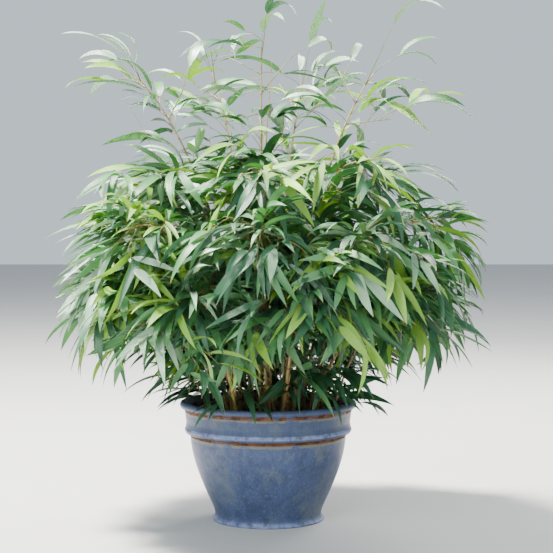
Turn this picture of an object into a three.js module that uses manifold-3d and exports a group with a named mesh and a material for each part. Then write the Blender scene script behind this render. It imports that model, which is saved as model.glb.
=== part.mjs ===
// Potted bamboo: a glazed pot with a clump of arching canes, each cane ending in its own mass of leaves.
// Millimetres, +Z up. The origin is the centre of the pot's underside, and -Y is the front.
import * as THREE from "three";
import { mergeVertices } from "three/addons/utils/BufferGeometryUtils.js";
import Module from "manifold-3d";

// Driving dimensions of the pot
const POT_HEIGHT = 270;
const RIM_RADIUS = 200;
const LIP_DEPTH = 15;
const LIP_WIDTH = 16;
const COLLAR_TOP_RADIUS = 190;
const COLLAR_FOOT_RADIUS = 185.5;
const RIDGE_RADIUS = 189;
const RIDGE_HEIGHT = 206;
const RIDGE_HALF = 8;
const SHOULDER_RADIUS = 176;
const SHOULDER_HEIGHT = 187;
const WAIST_RADIUS = 120.5;
const WAIST_HEIGHT = 17;
const FOOT_RADIUS = 127;
const FOOT_EDGE = { inwards: 2, upwards: 3 };
const FOOT_COVE_HEIGHT = 7;
const BELLY_LOW = { radius: 124, height: 40 };
const BELLY_HIGH = { radius: 170, height: 110 };
const RIDGE_NECK = 3;
const RIM_BEVEL = 3;
const WALL = 14;
const FLOOR = 18;
const INNER_BEND = { low: 60, high: 90 };
const INNER_FLARE = 4;
const POT_SIDES = 36;
const ARC_STEPS = 4;

// Driving dimensions of the soil
const SOIL_LEVEL = 247;
const SOIL_FALL = 4;
const SOIL_FLAT_RADIUS = 150;
const CLEARANCE = 0.3;

// Driving dimensions of the plant
const CROWN_RADIUS = 515;
const CROWN_TOP = 1228;
const CANE_FOOT_THICK = 4.2;
const CANE_TIP_THICK = 3.4;
const CANE_SIDES = 5;
const CANE_STEPS = 5;
const STEM_TIP_THICK = 2.4;
const TWIG_FOOT_THICK = 2;
const TWIG_TIP_THICK = 1.7;
const LEAF_LENGTH = 200;
const LEAF_WIDTH = 40;
const LEAF_THICKNESS = 3.2;
const LEAF_WIDEST_AT = 0.42;
const LEAF_ROOT_SUNK = 12;
const PLANT_SEED = 908;

// The tiers of arching canes, from the outside in. Radii and heights are of each cane's foot, bend and tip.
// A mass gathers round its heart, which hangs a little below one place on its cane's path.
const TIERS = [
  {
    name: "skirt",
    count: 8,
    turn: 14,
    footRadius: 124,
    rise: 120,
    bend: { radius: 265, height: 590 },
    tip: { radius: 335, height: 510 },
    heartAt: 0.86,
    hang: 60,
    room: 0,
    twigs: 4,
    fall: 0.75,
  },
  {
    name: "middle",
    count: 8,
    turn: 40,
    footRadius: 96,
    rise: 200,
    bend: { radius: 240, height: 745 },
    tip: { radius: 375, height: 635 },
    heartAt: 0.88,
    hang: 60,
    room: 0,
    twigs: 4,
    fall: 0.8,
  },
  {
    name: "shoulder",
    count: 6,
    turn: 14,
    footRadius: 68,
    rise: 280,
    bend: { radius: 150, height: 860 },
    tip: { radius: 285, height: 785 },
    heartAt: 0.88,
    hang: 50,
    room: 60,
    twigs: 4,
    fall: 0.65,
  },
  {
    name: "dome",
    count: 1,
    turn: 268,
    footRadius: 40,
    rise: 300,
    bend: { radius: 45, height: 700 },
    tip: { radius: 60, height: 860 },
    heartAt: 0.9,
    hang: 20,
    room: 100,
    twigs: 7,
    fall: 0.5,
  },
];

// The tall canes that stand out of the dome, each by where its tip is
const SPIRES = [
  { x: -15, y: 0, z: 1065 },
  { x: 235, y: -30, z: 1005 },
  { x: -290, y: -20, z: 995 },
  { x: -135, y: 150, z: 1025 },
  { x: 80, y: 220, z: 985 },
];
const SPIRE = { footRadius: 34, heartAt: 0.97, hang: 0, room: 0, twigs: 3, fall: 0.2 };
const SPIRE_LOW = { across: 0.1, up: 0.4 };
const SPIRE_HIGH = { across: 0.55, up: 0.85 };

// How far the canes of a tier differ from each other, in degrees, millimetres and, for the sway, radians
const VARIES = { azimuth: 5, foot: 6, rise: 20, bendRadius: 20, height: 25, sway: 0.07, tipRadius: 25 };
const LEAN_SHARE = 0.25;

// How a mass branches: shares of a limb's length, millimetres, and radians off a limb's course
const STEM_START = 0.55;
const STEM_STEPS = 4;
const TWIG_STEPS = 2;
const TWIG_LENGTH = [80, 120];
const TWIG_SPREAD = [0.7, 1.3];
const TWIG_RISE = [-0.3, 0.7];
const TWIG_BEND_AT = 0.55;
const TWIG_FALL = 0.4;
const FIRST_TWIG = 0.6;
const GOLDEN_TURN = 2.4;
const UPRIGHT = 0.8;

// How the leaves of a spray stand, the first at a limb's very end
const SPRAY_LEAVES = 6;
const SPRAY_GAP = 13;
const LEAF_SPREAD = { first: 0.1, step: 0.3, varies: 0.1 };
const LEAF_FALL = [0.5, 1.5];
const LEAF_TILT = [-0.4, 0.4];
const LEAF_SHARE = [0.85, 1.1];
const LEAF_ARCH = [0.03, 0.09];
const LEAF_TRIES = [1, 0.85, 0.7];

// What a twig or leaf keeps off: other masses' space, the canes, the pot, and the leaves of its own mass
const SPACE_MARGIN = 0.9;
const CANE_CLEAR = 2.5;
const POT_CLEAR = 4;
const LEAF_CLEAR = 2;
const ROOT_FREE = 10;

// How finely limbs, edges and the canes' ends are looked at
const CANE_STEP = 6;
const EDGE_STEPS = 8;
const ENTRY_STEPS = 200;
const ROUNDED = 1e4;

const wasm = await Module();
wasm.setup();

const glaze = new THREE.MeshStandardMaterial({ color: "#5b6d8a", roughness: 0.3, metalness: 0 });
const earth = new THREE.MeshStandardMaterial({ color: "#3a2f25", roughness: 0.95, metalness: 0 });
const cane = new THREE.MeshStandardMaterial({ color: "#8f8248", roughness: 0.55, metalness: 0 });
const leafGreen = new THREE.MeshStandardMaterial({ color: "#4c7a3d", roughness: 0.5, metalness: 0 });

// A run of seeded numbers, so that the same plant grows every time
function seededRun(seed) {
  let state = seed >>> 0;
  return (low, high) => {
    state = (Math.imul(state, 1664525) + 1013904223) >>> 0;
    return low + ((high - low) * state) / 2 ** 32;
  };
}

function polar(radius, azimuth, height) {
  return new THREE.Vector3(radius * Math.cos(azimuth), radius * Math.sin(azimuth), height);
}

// A turned solid about +Z from an outline of radius and height that starts and ends on the axis
function turned(outline) {
  return new THREE.LatheGeometry(outline.getPoints(ARC_STEPS), POT_SIDES).rotateX(Math.PI / 2);
}

// The inside of the pot from its floor to the soil's edge, or the soil's own side when it is kept clear
function addInnerWall(outline, clearance, upwards) {
  const foot = new THREE.Vector2(WAIST_RADIUS - WALL - clearance, FLOOR + clearance);
  const low = new THREE.Vector2(WAIST_RADIUS - WALL - clearance, FLOOR + INNER_BEND.low);
  const high = new THREE.Vector2(SHOULDER_RADIUS - WALL - clearance, FLOOR + INNER_BEND.high);
  const top = new THREE.Vector2(SHOULDER_RADIUS - clearance - INNER_FLARE, SOIL_LEVEL - SOIL_FALL);
  if (upwards) {
    outline.lineTo(foot.x, foot.y);
    outline.bezierCurveTo(low.x, low.y, high.x, high.y, top.x, top.y);
  } else {
    outline.lineTo(top.x, top.y);
    outline.bezierCurveTo(high.x, high.y, low.x, low.y, foot.x, foot.y);
  }
}

// A half round that stands out of the outline, from below its centre to above it
function addRound(outline, radius, height, half) {
  const out = radius + (4 / 3) * half;
  outline.lineTo(radius, height - half);
  outline.bezierCurveTo(out, height - half, out, height + half, radius, height + half);
}

function potGeometry() {
  const lipRound = LIP_DEPTH / 2;
  const lipCentre = POT_HEIGHT - lipRound;
  const ridgeCentre = RIDGE_RADIUS - RIDGE_HALF;
  const outline = new THREE.Path();
  outline.moveTo(0, 0);
  outline.lineTo(FOOT_RADIUS - FOOT_EDGE.inwards, 0);
  outline.lineTo(FOOT_RADIUS, FOOT_EDGE.upwards);
  outline.quadraticCurveTo(WAIST_RADIUS, FOOT_COVE_HEIGHT, WAIST_RADIUS, WAIST_HEIGHT);
  const low = BELLY_LOW;
  const high = BELLY_HIGH;
  outline.bezierCurveTo(low.radius, low.height, high.radius, high.height, SHOULDER_RADIUS, SHOULDER_HEIGHT);
  outline.lineTo(SHOULDER_RADIUS, RIDGE_HEIGHT - RIDGE_HALF - RIDGE_NECK);
  addRound(outline, ridgeCentre, RIDGE_HEIGHT, RIDGE_HALF);
  outline.lineTo(COLLAR_FOOT_RADIUS, RIDGE_HEIGHT + RIDGE_HALF + 1);
  outline.lineTo(COLLAR_TOP_RADIUS, lipCentre - lipRound);
  addRound(outline, RIM_RADIUS - lipRound, lipCentre, lipRound);
  outline.lineTo(RIM_RADIUS - LIP_WIDTH + RIM_BEVEL, POT_HEIGHT);
  outline.lineTo(RIM_RADIUS - LIP_WIDTH, POT_HEIGHT - RIM_BEVEL);
  addInnerWall(outline, 0, false);
  outline.lineTo(0, FLOOR);
  return turned(outline);
}

function soilGeometry() {
  const outline = new THREE.Path();
  outline.moveTo(0, FLOOR + CLEARANCE);
  addInnerWall(outline, CLEARANCE, true);
  outline.lineTo(SOIL_FLAT_RADIUS, SOIL_LEVEL);
  outline.lineTo(0, SOIL_LEVEL);
  return turned(outline);
}

// A limb's line: evenly spaced places on part of a curve, with the curve's course at each
function lineAlong(curve, from, to, steps) {
  const line = [];
  for (let i = 0; i <= steps; i++) {
    const t = THREE.MathUtils.lerp(from, to, i / steps);
    line.push({ place: curve.getPoint(t), course: curve.getTangent(t) });
  }
  return line;
}

function stretchAt(line, along) {
  const stretches = line.length - 1;
  const index = THREE.MathUtils.clamp(Math.floor(along * stretches), 0, stretches - 1);
  return { start: line[index].place, end: line[index + 1].place, share: along * stretches - index };
}

function placeOn(line, along) {
  const { start, end, share } = stretchAt(line, along);
  return start.clone().lerp(end, share);
}

function courseOn(line, along) {
  const { start, end } = stretchAt(line, along);
  return end.clone().sub(start).normalize();
}

function lengthOf(line) {
  return line.slice(1).reduce((sum, { place }, i) => sum + place.distanceTo(line[i].place), 0);
}

// A tapering limb of a few flat sides round a line. A level foot stands flat on what carries it.
function limbGeometry(line, footThick, tipThick, sides, levelFoot) {
  const steps = line.length - 1;
  const corners = Array.from({ length: sides }, (_, i) => (2 * Math.PI * i) / sides);
  const section = new THREE.Shape(corners.map((turn) => new THREE.Vector2(Math.cos(turn), Math.sin(turn))));
  const limb = new THREE.ExtrudeGeometry(section, { steps, depth: steps, bevelEnabled: false });
  const places = limb.attributes.position;
  const crossways = new THREE.Vector3(0.31, 0.95, 0.03).normalize();
  for (let i = 0; i < places.count; i++) {
    const step = Math.round(places.getZ(i));
    const forward = levelFoot && step === 0 ? new THREE.Vector3(0, 0, 1) : line[step].course;
    const side = new THREE.Vector3().crossVectors(forward, crossways).normalize();
    const other = new THREE.Vector3().crossVectors(forward, side);
    const thick = THREE.MathUtils.lerp(footThick, tipThick, step / steps);
    const place = line[step].place.clone().addScaledVector(side, places.getX(i) * thick);
    place.addScaledVector(other, places.getY(i) * thick);
    places.setXYZ(i, place.x, place.y, place.z);
  }
  return limb;
}

// One leaf: a blade of eight faces from its sunk root, widest nearer the twig, arched, along a direction
function leafGeometry(leaf) {
  const blade = new THREE.OctahedronGeometry(1, 0);
  const places = blade.attributes.position;
  const side = new THREE.Vector3().crossVectors(leaf.facing, leaf.direction).normalize();
  const facing = new THREE.Vector3().crossVectors(leaf.direction, side);
  for (let i = 0; i < places.count; i++) {
    const end = Math.round(places.getX(i));
    const along = end === 0 ? LEAF_WIDEST_AT : 1;
    const place = leaf.base.clone().addScaledVector(leaf.direction, along * leaf.length);
    if (end === 0) place.addScaledVector(facing, leaf.arch);
    if (end === -1) place.copy(leaf.root);
    place.addScaledVector(side, (places.getY(i) * leaf.width) / 2);
    place.addScaledVector(facing, (places.getZ(i) * LEAF_THICKNESS) / 2);
    places.setXYZ(i, place.x, place.y, place.z);
  }
  return blade;
}

// The path of each cane from its foot in the soil to its tip, which its mass of leaves takes over
function growPaths(random) {
  const paths = [];
  for (const tier of TIERS) {
    for (let i = 0; i < tier.count; i++) {
      const about = (size, varies) => size + random(-varies, varies);
      const even = tier.turn + (360 * i) / tier.count;
      const azimuth = THREE.MathUtils.degToRad(about(even, VARIES.azimuth));
      const foot = polar(about(tier.footRadius, VARIES.foot), azimuth, SOIL_LEVEL + CLEARANCE);
      const lean = polar(tier.footRadius * LEAN_SHARE, azimuth, about(tier.rise, VARIES.rise));
      const bendRadius = about(tier.bend.radius, VARIES.bendRadius);
      const bend = polar(bendRadius, azimuth, about(tier.bend.height, VARIES.height));
      const sway = about(azimuth, VARIES.sway);
      const tipRadius = about(tier.tip.radius, VARIES.tipRadius);
      const tip = polar(tipRadius, sway, about(tier.tip.height, VARIES.height));
      const curve = new THREE.CubicBezierCurve3(foot, foot.clone().add(lean), bend, tip);
      paths.push({ name: `${tier.name}_${i + 1}`, curve, habit: tier });
    }
  }
  SPIRES.forEach((spire, i) => {
    const tip = new THREE.Vector3(spire.x, spire.y, spire.z);
    const foot = new THREE.Vector3(spire.x, spire.y, 0).clampLength(0, SPIRE.footRadius);
    foot.z = SOIL_LEVEL + CLEARANCE;
    const height = (share) => THREE.MathUtils.lerp(foot.z, tip.z, share);
    const between = ({ across, up }) => foot.clone().lerp(tip, across).setZ(height(up));
    const curve = new THREE.CubicBezierCurve3(foot, between(SPIRE_LOW), between(SPIRE_HIGH), tip);
    paths.push({ name: `spire_${i + 1}`, curve, habit: SPIRE });
  });
  return paths;
}

// A point lies in a mass's own space when it is nearer to that mass's heart than to any other. A mass with
// more room has its borders pushed out.
function farness(point, path) {
  return point.distanceToSquared(path.heart) - path.habit.room ** 2;
}

function inOwnSpace(point, path, paths) {
  const own = farness(point, path);
  return paths.every((other) => {
    if (other === path) return true;
    const apart = path.heart.distanceTo(other.heart);
    return (farness(point, other) - own) / (2 * apart) > SPACE_MARGIN;
  });
}

// The canes as points along them, which no twig or leaf may touch
function canePoints(path) {
  const line = path.caneLine;
  const steps = Math.ceil(lengthOf(line) / CANE_STEP);
  const points = [];
  for (let i = 0; i <= steps; i++) {
    const radius = THREE.MathUtils.lerp(CANE_FOOT_THICK, CANE_TIP_THICK, i / steps);
    points.push({ place: placeOn(line, i / steps), reach: radius + CANE_CLEAR });
  }
  return points;
}

function clearOfPot(point) {
  return point.z > POT_HEIGHT + POT_CLEAR || Math.hypot(point.x, point.y) > RIM_RADIUS + POT_CLEAR;
}

function insideCrown(point) {
  return Math.hypot(point.x, point.y) < CROWN_RADIUS && point.z < CROWN_TOP;
}

function trianglesOf(geometry) {
  const flat = geometry.index ? geometry.toNonIndexed() : geometry;
  const places = flat.attributes.position;
  const triangles = [];
  for (let i = 0; i < places.count; i += 3)
    triangles.push(new THREE.Triangle().setFromAttributeAndIndices(places, i, i + 1, i + 2));
  return triangles;
}

function edgePoints(triangles) {
  const points = [];
  for (const { a, b, c } of triangles)
    for (const [start, end] of [[a, b], [b, c], [c, a]])
      for (let i = 0; i < EDGE_STEPS; i++) points.push(start.clone().lerp(end, i / EDGE_STEPS));
  return points;
}

// Whether a point keeps a distance from every triangle
const nearest = new THREE.Vector3();
function keepsFrom(triangles, place, reach) {
  return triangles.every((face) => face.closestPointToPoint(place, nearest).distanceTo(place) > reach);
}

function mayStand(piece, path, plant) {
  const triangles = trianglesOf(piece);
  const fits = (point) => clearOfPot(point) && insideCrown(point) && inOwnSpace(point, path, plant.paths);
  if (!edgePoints(triangles).every(fits)) return false;
  piece.computeBoundingSphere();
  const { center, radius } = piece.boundingSphere;
  const close = plant.canePoints.filter(({ place, reach }) => place.distanceTo(center) < radius + reach);
  return close.every(({ place, reach }) => keepsFrom(triangles, place, reach));
}

// Whether a leaf, away from its root, keeps off the leaves already placed in its mass
function keepsOff(blade, root, placed) {
  const points = edgePoints(trianglesOf(blade)).filter((point) => point.distanceTo(root) > ROOT_FREE);
  return placed.every((other) => points.every((point) => keepsFrom(other, point, LEAF_CLEAR)));
}

// The way a limb's branch or leaf of one number sets off: to both sides in turn from a limb that arches, and
// all round an upright one
function leaning(course, number, spread) {
  const side = new THREE.Vector3(-course.y, course.x, 0).normalize().multiplyScalar(number % 2 ? 1 : -1);
  if (course.z > UPRIGHT) side.copy(polar(1, GOLDEN_TURN * number, 0));
  return course.multiplyScalar(Math.cos(spread)).addScaledVector(side, Math.sin(spread));
}

// A spray: leaves at both sides of a limb's end in turn, the last one nearly straight on, all falling by
// their weight
function sprayLeaves(line, fall, random) {
  const leaves = [];
  const whole = lengthOf(line);
  for (let i = 0; i < SPRAY_LEAVES; i++) {
    const at = 1 - (SPRAY_GAP * i) / whole;
    const base = placeOn(line, at);
    const root = placeOn(line, at - LEAF_ROOT_SUNK / whole);
    const { first, step, varies } = LEAF_SPREAD;
    const direction = leaning(courseOn(line, at), i, first + step * i + random(-varies, varies));
    direction.z -= fall * random(...LEAF_FALL);
    direction.normalize();
    const facing = new THREE.Vector3(random(...LEAF_TILT), random(...LEAF_TILT), 1);
    const length = LEAF_LENGTH * random(...LEAF_SHARE);
    const width = LEAF_WIDTH * random(...LEAF_SHARE);
    leaves.push({ base, root, direction, facing, length, width, arch: length * random(...LEAF_ARCH) });
  }
  return leaves;
}

// The twigs of a mass: from both sides of its stem in turn, rising and then bending over
function twigLines(stem, path, random) {
  const lines = [];
  for (let i = 0; i < path.habit.twigs; i++) {
    const at = (i + FIRST_TWIG) / (path.habit.twigs + 1 - FIRST_TWIG);
    const foot = placeOn(stem, at);
    const direction = leaning(courseOn(stem, at), i, random(...TWIG_SPREAD));
    direction.z += random(...TWIG_RISE);
    direction.normalize();
    const length = random(...TWIG_LENGTH);
    const middle = foot.clone().addScaledVector(direction, length * TWIG_BEND_AT);
    const tip = foot.clone().addScaledVector(direction, length);
    tip.z -= path.habit.fall * length * TWIG_FALL;
    lines.push(lineAlong(new THREE.QuadraticBezierCurve3(foot, middle, tip), 0, 1, TWIG_STEPS));
  }
  return lines;
}

function solidOf(geometry) {
  const bare = geometry.clone();
  bare.deleteAttribute("normal");
  bare.deleteAttribute("uv");
  const merged = mergeVertices(bare, 1e-3);
  const vertProperties = merged.attributes.position.array;
  const triVerts = new Uint32Array(merged.index.array);
  return new wasm.Manifold(new wasm.Mesh({ numProp: 3, vertProperties, triVerts }));
}

function geometryOf(solid) {
  const mesh = solid.getMesh();
  const result = new THREE.BufferGeometry();
  result.setAttribute("position", new THREE.BufferAttribute(mesh.vertProperties, 3));
  result.setIndex(new THREE.BufferAttribute(mesh.triVerts, 1));
  return result;
}

// Whether every edge still joins just two faces once the corners are rounded to a ten-thousandth
function staysClosed(solid) {
  const { vertProperties, triVerts } = solidOf(geometryOf(solid)).getMesh();
  const rounded = vertProperties.map((size) => Math.round(size * ROUNDED));
  const cornerOf = (vertex) => rounded.slice(3 * vertex, 3 * vertex + 3).join();
  const edges = new Map();
  for (let i = 0; i < triVerts.length; i += 3) {
    const corners = [...triVerts.slice(i, i + 3)].map(cornerOf);
    if (new Set(corners).size < 3) continue;
    corners.forEach((corner, k) => {
      const edge = [corner, corners[(k + 1) % 3]].sort().join(" ");
      edges.set(edge, (edges.get(edge) ?? 0) + 1);
    });
  }
  return [...edges.values()].every((faces) => faces === 2);
}

// A mass with one more piece fused on, or as it was if the piece would hang loose or leave a flaw
function withPiece(whole, piece) {
  const joined = whole.add(solidOf(piece));
  return joined.decompose().length === 1 && staysClosed(joined) ? joined : whole;
}

function massGeometry(path, plant, random) {
  const stemFrom = path.entry + CLEARANCE / path.curve.getLength();
  const stem = lineAlong(path.curve, stemFrom, 1, STEM_STEPS);
  let whole = solidOf(limbGeometry(stem, CANE_TIP_THICK, STEM_TIP_THICK, 3, false));
  const leaves = sprayLeaves(stem, path.habit.fall, random);
  for (const line of twigLines(stem, path, random)) {
    const twig = limbGeometry(line, TWIG_FOOT_THICK, TWIG_TIP_THICK, 3, false);
    const spray = sprayLeaves(line, path.habit.fall, random);
    const grown = mayStand(twig, path, plant) ? withPiece(whole, twig) : whole;
    if (grown !== whole) leaves.push(...spray);
    whole = grown;
  }
  const placed = [];
  for (const leaf of leaves) {
    for (const share of LEAF_TRIES) {
      const blade = leafGeometry({ ...leaf, length: leaf.length * share, width: leaf.width * share });
      if (!mayStand(blade, path, plant) || !keepsOff(blade, leaf.root, placed)) continue;
      const grown = withPiece(whole, blade);
      if (grown === whole) continue;
      whole = grown;
      placed.push(trianglesOf(blade));
      break;
    }
  }
  return geometryOf(whole);
}

function named(name, geometry, material) {
  const mesh = new THREE.Mesh(geometry, material);
  mesh.name = name;
  return mesh;
}

// Each cane ends where its path enters its own mass's space for good
function entryOf(path, paths) {
  let entry = 1;
  for (let i = ENTRY_STEPS; i >= 0; i--) {
    const t = i / ENTRY_STEPS;
    if (t < STEM_START || !inOwnSpace(path.curve.getPoint(t), path, paths)) break;
    entry = t;
  }
  return entry;
}

function growPlant() {
  const paths = growPaths(seededRun(PLANT_SEED));
  for (const path of paths) {
    path.heart = path.curve.getPoint(path.habit.heartAt);
    path.heart.z -= path.habit.hang;
  }
  for (const path of paths) {
    path.entry = entryOf(path, paths);
    path.caneLine = lineAlong(path.curve, 0, path.entry, CANE_STEPS);
  }
  const plant = { paths, canePoints: paths.flatMap(canePoints) };
  const group = new THREE.Group();
  paths.forEach((path, i) => {
    const limb = limbGeometry(path.caneLine, CANE_FOOT_THICK, CANE_TIP_THICK, CANE_SIDES, true);
    const mass = massGeometry(path, plant, seededRun(PLANT_SEED + 1 + i));
    group.add(named(`cane_${path.name}`, limb, cane));
    group.add(named(`leaves_${path.name}`, mass, leafGreen));
  });
  return group;
}

const pottedBamboo = new THREE.Group();
pottedBamboo.add(named("pot", potGeometry(), glaze));
pottedBamboo.add(named("soil", soilGeometry(), earth));
pottedBamboo.add(growPlant());
export default pottedBamboo;
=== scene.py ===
# Potted bamboo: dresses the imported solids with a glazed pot, soil, canes, twigs and leaves.
# Metres, +Z up. The origin is the centre of the pot's underside, and -Y is the front.
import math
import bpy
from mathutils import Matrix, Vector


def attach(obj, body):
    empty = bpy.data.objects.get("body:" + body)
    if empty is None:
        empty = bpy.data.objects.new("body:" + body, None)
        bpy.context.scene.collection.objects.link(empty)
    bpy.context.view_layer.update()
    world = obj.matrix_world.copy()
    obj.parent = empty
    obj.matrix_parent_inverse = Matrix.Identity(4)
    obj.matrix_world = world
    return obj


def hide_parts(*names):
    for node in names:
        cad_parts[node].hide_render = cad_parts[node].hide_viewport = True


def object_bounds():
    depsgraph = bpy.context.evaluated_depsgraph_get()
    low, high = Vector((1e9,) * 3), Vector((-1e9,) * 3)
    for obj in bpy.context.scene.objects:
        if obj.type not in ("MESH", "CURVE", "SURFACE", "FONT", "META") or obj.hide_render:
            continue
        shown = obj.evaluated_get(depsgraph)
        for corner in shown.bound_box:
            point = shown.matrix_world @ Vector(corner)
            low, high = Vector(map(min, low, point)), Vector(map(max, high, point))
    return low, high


bl_info = {
    "name": "Potted Bamboo",
    "version": (1, 0, 0),
    "blender": (4, 5, 0),
    "location": "3D View > Sidebar > Potted Bamboo",
    "description": "Dresses the potted bamboo's solids with its pot, soil, canes, twigs and leaves",
    "category": "Object",
}

import bpy
import numpy as np
from mathutils import Vector, noise

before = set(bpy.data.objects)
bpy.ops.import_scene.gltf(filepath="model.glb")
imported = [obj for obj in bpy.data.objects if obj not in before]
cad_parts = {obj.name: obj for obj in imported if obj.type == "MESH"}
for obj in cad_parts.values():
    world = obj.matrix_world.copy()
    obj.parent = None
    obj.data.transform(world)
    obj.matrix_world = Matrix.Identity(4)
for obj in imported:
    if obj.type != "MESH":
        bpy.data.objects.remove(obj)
CAD_LOW, CAD_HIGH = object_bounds()
ROOT = "root"
MM = 0.001

# The pot from its lip down, its wall and its soil
POT_HEIGHT = 270 * MM
RIM_RADIUS = 200 * MM
LIP_DEPTH = 15 * MM
LIP_WIDTH = 16 * MM
LIP_BEVEL = 4 * MM
COLLAR_TOP_RADIUS = 190 * MM
COLLAR_FOOT_RADIUS = 185.5 * MM
COLLAR_FOOT_HEIGHT = 224 * MM
RIDGE_RADIUS = 189 * MM
RIDGE_HEIGHT = 206 * MM
RIDGE_HALF = 8 * MM
RIDGE_NECK = 2 * MM
SHOULDER_RADIUS = 176 * MM
SHOULDER_HEIGHT = 187 * MM
BELLY_HIGH = (170 * MM, 110 * MM)
BELLY_LOW = (124 * MM, 40 * MM)
WAIST_RADIUS = 120.5 * MM
WAIST_HEIGHT = 17 * MM
FOOT_RADIUS = 127 * MM
FOOT_EDGE = 3 * MM
FOOT_COVE_HEIGHT = 7 * MM
WALL = 14 * MM
FLOOR = 18 * MM
INNER_FLARE = 4 * MM
INNER_BEND_HIGH = 90 * MM
INNER_BEND_LOW = 60 * MM
SOIL_LEVEL = 247 * MM
SOIL_FALL = 4 * MM
SOIL_FLAT_RADIUS = 150 * MM
CLEARANCE = 0.3 * MM

# The canes' tiers and the tall canes, as the source grows them, in millimetres, degrees and shares
TIERS = {
    "skirt": dict(
        count=8, turn=14, foot=124, rise=120, bend=(265, 590), tip=(335, 510),
        heart=0.86, hang=60, room=0, twigs=4, fall=0.75,
    ),
    "middle": dict(
        count=8, turn=40, foot=96, rise=200, bend=(240, 745), tip=(375, 635),
        heart=0.88, hang=60, room=0, twigs=4, fall=0.8,
    ),
    "shoulder": dict(
        count=6, turn=14, foot=68, rise=280, bend=(150, 860), tip=(285, 785),
        heart=0.88, hang=50, room=60, twigs=4, fall=0.65,
    ),
    "dome": dict(
        count=1, turn=268, foot=40, rise=300, bend=(45, 700), tip=(60, 860),
        heart=0.9, hang=20, room=100, twigs=7, fall=0.5,
    ),
}
SPIRES = ((-15, 0, 1065), (235, -30, 1005), (-290, -20, 995), (-135, 150, 1025), (80, 220, 985))
SPIRE = dict(foot=34, heart=0.97, hang=0, room=0, twigs=3, fall=0.2)
PLANT_SEED = 908
CANE_FOOT_RADIUS = 4.2 * MM


# Sizes and colours that a user would change
class PottedBambooPot(bpy.types.PropertyGroup):
    sides: bpy.props.IntProperty(
        name="Sides", description="Sides of the turned pot", default=160, min=24
    )
    wobble: bpy.props.FloatProperty(
        name="Wobble", description="How far the thrown wall strays from round",
        default=0.5 * MM, unit="LENGTH",
    )
    glaze: bpy.props.FloatVectorProperty(
        name="Glaze", description="The glaze's main colour", subtype="COLOR", size=3,
        default=(0.054, 0.077, 0.150),
    )


class PottedBambooSoil(bpy.types.PropertyGroup):
    relief: bpy.props.FloatProperty(
        name="Relief", description="How uneven the soil's top is", default=3 * MM, unit="LENGTH"
    )
    crumbs: bpy.props.FloatProperty(
        name="Crumbs", description="Crumbs to a square metre of soil", default=16000
    )
    crumb_size: bpy.props.FloatProperty(
        name="Crumb Size", description="Radius of the largest crumb", default=2.6 * MM, unit="LENGTH"
    )
    colour: bpy.props.FloatVectorProperty(
        name="Colour", description="The damp soil's colour", subtype="COLOR", size=3,
        default=(0.034, 0.024, 0.016),
    )


class PottedBambooCanes(bpy.types.PropertyGroup):
    companions: bpy.props.IntProperty(
        name="Companions", description="Thin canes that rise beside each main cane", default=2, min=0
    )
    node_gap: bpy.props.FloatProperty(
        name="Node Gap", description="Usual length between two nodes", default=82 * MM, unit="LENGTH"
    )
    colour: bpy.props.FloatVectorProperty(
        name="Colour", description="The ripe canes' colour", subtype="COLOR", size=3,
        default=(0.36, 0.25, 0.10),
    )


class PottedBambooLeaves(bpy.types.PropertyGroup):
    least_leaves: bpy.props.IntProperty(
        name="Fewest Leaves", description="Fewest leaves of a spray", default=3, min=1
    )
    most_leaves: bpy.props.IntProperty(
        name="Most Leaves", description="Most leaves of a spray", default=5, min=1
    )
    inner: bpy.props.IntProperty(
        name="Inner Sprays", description="Sprays along each cane below its mass", default=28, min=0
    )
    tall: bpy.props.IntProperty(
        name="Tall Sprays", description="Sprays along each tall cane above the dome", default=20, min=0
    )
    low: bpy.props.IntProperty(
        name="Low Sprays", description="Hanging sprays low on each arching cane", default=12, min=0
    )
    width: bpy.props.FloatProperty(
        name="Width", description="Width of a full-grown leaf", default=22 * MM, unit="LENGTH"
    )
    # Leaf colours with painted light in them: deep is old leaves' colour and painted shade, fresh is young
    # leaves' colour and painted sunlight, pale is a painted sheen
    deep: bpy.props.FloatVectorProperty(
        name="Deep", description="Colour of the old shaded leaves", subtype="COLOR", size=3,
        default=(0.038, 0.128, 0.064),
    )
    middle: bpy.props.FloatVectorProperty(
        name="Middle", description="Colour of most leaves", subtype="COLOR", size=3,
        default=(0.074, 0.215, 0.080),
    )
    fresh: bpy.props.FloatVectorProperty(
        name="Fresh", description="Colour of the young leaves", subtype="COLOR", size=3,
        default=(0.230, 0.430, 0.075),
    )
    # Pale is a painted sheen: the sky's reflection on the sunlit upper leaves, painted into their colour
    pale: bpy.props.FloatVectorProperty(
        name="Pale", description="Colour of the bleached upper leaves", subtype="COLOR", size=3,
        default=(0.290, 0.465, 0.320),
    )


class PottedBambooStage(bpy.types.PropertyGroup):
    lens: bpy.props.FloatProperty(
        name="Lens", description="The camera's focal length in millimetres", default=104.2
    )
    distance: bpy.props.FloatProperty(
        name="Distance", description="From the camera to the pot's axis", default=3.616, unit="LENGTH"
    )
    floor: bpy.props.FloatVectorProperty(
        name="Floor", description="The floor's colour", subtype="COLOR", size=3,
        default=(0.43, 0.425, 0.43),
    )


# Materials
class Value:
    """An output of a material's nodes. Arithmetic on it adds Math nodes."""

    def __init__(self, maker, socket):
        self.maker = maker
        self.socket = socket

    def math(self, operation, first, second):
        return self.maker.node("ShaderNodeMath", {"operation": operation}, {0: first, 1: second})

    def __add__(self, other):
        return self.math("ADD", self, other)

    def __sub__(self, other):
        return self.math("SUBTRACT", self, other)

    def __rsub__(self, other):
        return self.math("SUBTRACT", other, self)

    def __mul__(self, other):
        return self.math("MULTIPLY", self, other)

    __radd__ = __add__
    __rmul__ = __mul__


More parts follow.
